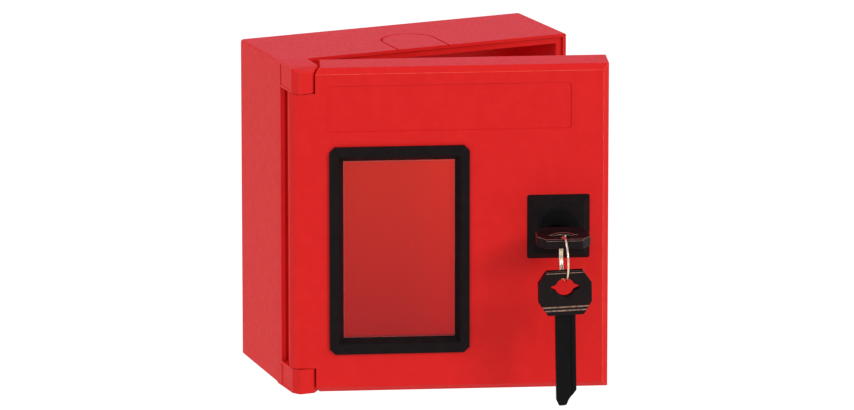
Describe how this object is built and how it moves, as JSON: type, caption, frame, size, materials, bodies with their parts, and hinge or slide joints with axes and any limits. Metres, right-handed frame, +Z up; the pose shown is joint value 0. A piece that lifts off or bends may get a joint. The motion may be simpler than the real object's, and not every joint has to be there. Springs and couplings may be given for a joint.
{
  "type": "break glass key box",
  "caption": "Wall-hung emergency key box with a hinged door, clear break-out pane, square cam lock, inside hook and keys on a split ring.",
  "frame": {"origin": "middle of the rectangle of wall screw holes, on the flat back face", "axes": "+X to the right seen from the front, +Z up, -Y out of the wall towards the front"},
  "size_m": [0.1212, 0.1227, 0.129],
  "materials": {
    "red_plastic": "satin moulded",
    "black_plastic": "satin moulded",
    "clear_pane": "clear, slightly hazed",
    "gasket_rubber": "matt",
    "steel": "zinc plated",
    "black_zinc": "black plated",
    "brass": "polished",
    "key_black": "semi-gloss moulded",
    "key_steel": "black nickel plated"
  },
  "bodies": {
    "box": {"back_box": "red_plastic", "key_hook": "steel", "hook_screw": "steel"},
    "door": {"door_shell": "red_plastic", "upper_hinge_pin": "steel", "lower_hinge_pin": "steel", "window_frame": "black_plastic", "window_pane": "clear_pane", "pane_gasket": "gasket_rubber", "pane_retainer": "black_plastic", "retainer_screws": "steel", "lock_escutcheon": "black_plastic", "lock_barrel": "black_zinc", "lock_nut": "steel", "nut_washer": "steel"},
    "plug": {"lock_plug": "black_zinc", "lock_wafers": "brass", "plug_clip": "steel", "lock_cam": "steel", "cam_washer": "steel", "cam_screw": "steel"},
    "key": {"lock_key_head": "key_black", "lock_key_blade": "key_steel"},
    "ring": {"split_ring": "brass"},
    "spare_key": {"spare_key_head": "key_black", "spare_key_blade": "key_steel"}
  },
  "joints": [
    {"name": "door_hinge", "type": "hinge", "parent": "box", "child": "door", "pos_m": [-0.0545, -0.054, 0], "axis": [0, 0, -1], "range_deg": [-18, 100]},
    {"name": "plug_turn", "type": "hinge", "parent": "door", "child": "plug", "pos_m": [0.0421, -0.07382, 0.0005], "axis": [0.309, 0.9511, 0], "range_deg": [0, 90]},
    {"name": "key_slide", "type": "slide", "parent": "plug", "child": "key", "axis": [-0.309, -0.9511, 0], "range_m": [0, 0.03]},
    {"name": "ring_swing", "type": "hinge", "parent": "key", "child": "ring", "pos_m": [0.0291, -0.11384, 0.0005], "axis": [-0.9703, 0.2419, 0], "range_deg": [-5, 75]},
    {"name": "spare_swing", "type": "hinge", "parent": "ring", "child": "spare_key", "pos_m": [0.0291, -0.11384, -0.0115], "axis": [-0.9703, 0.2419, 0], "range_deg": [-10, 60]}
  ]
}
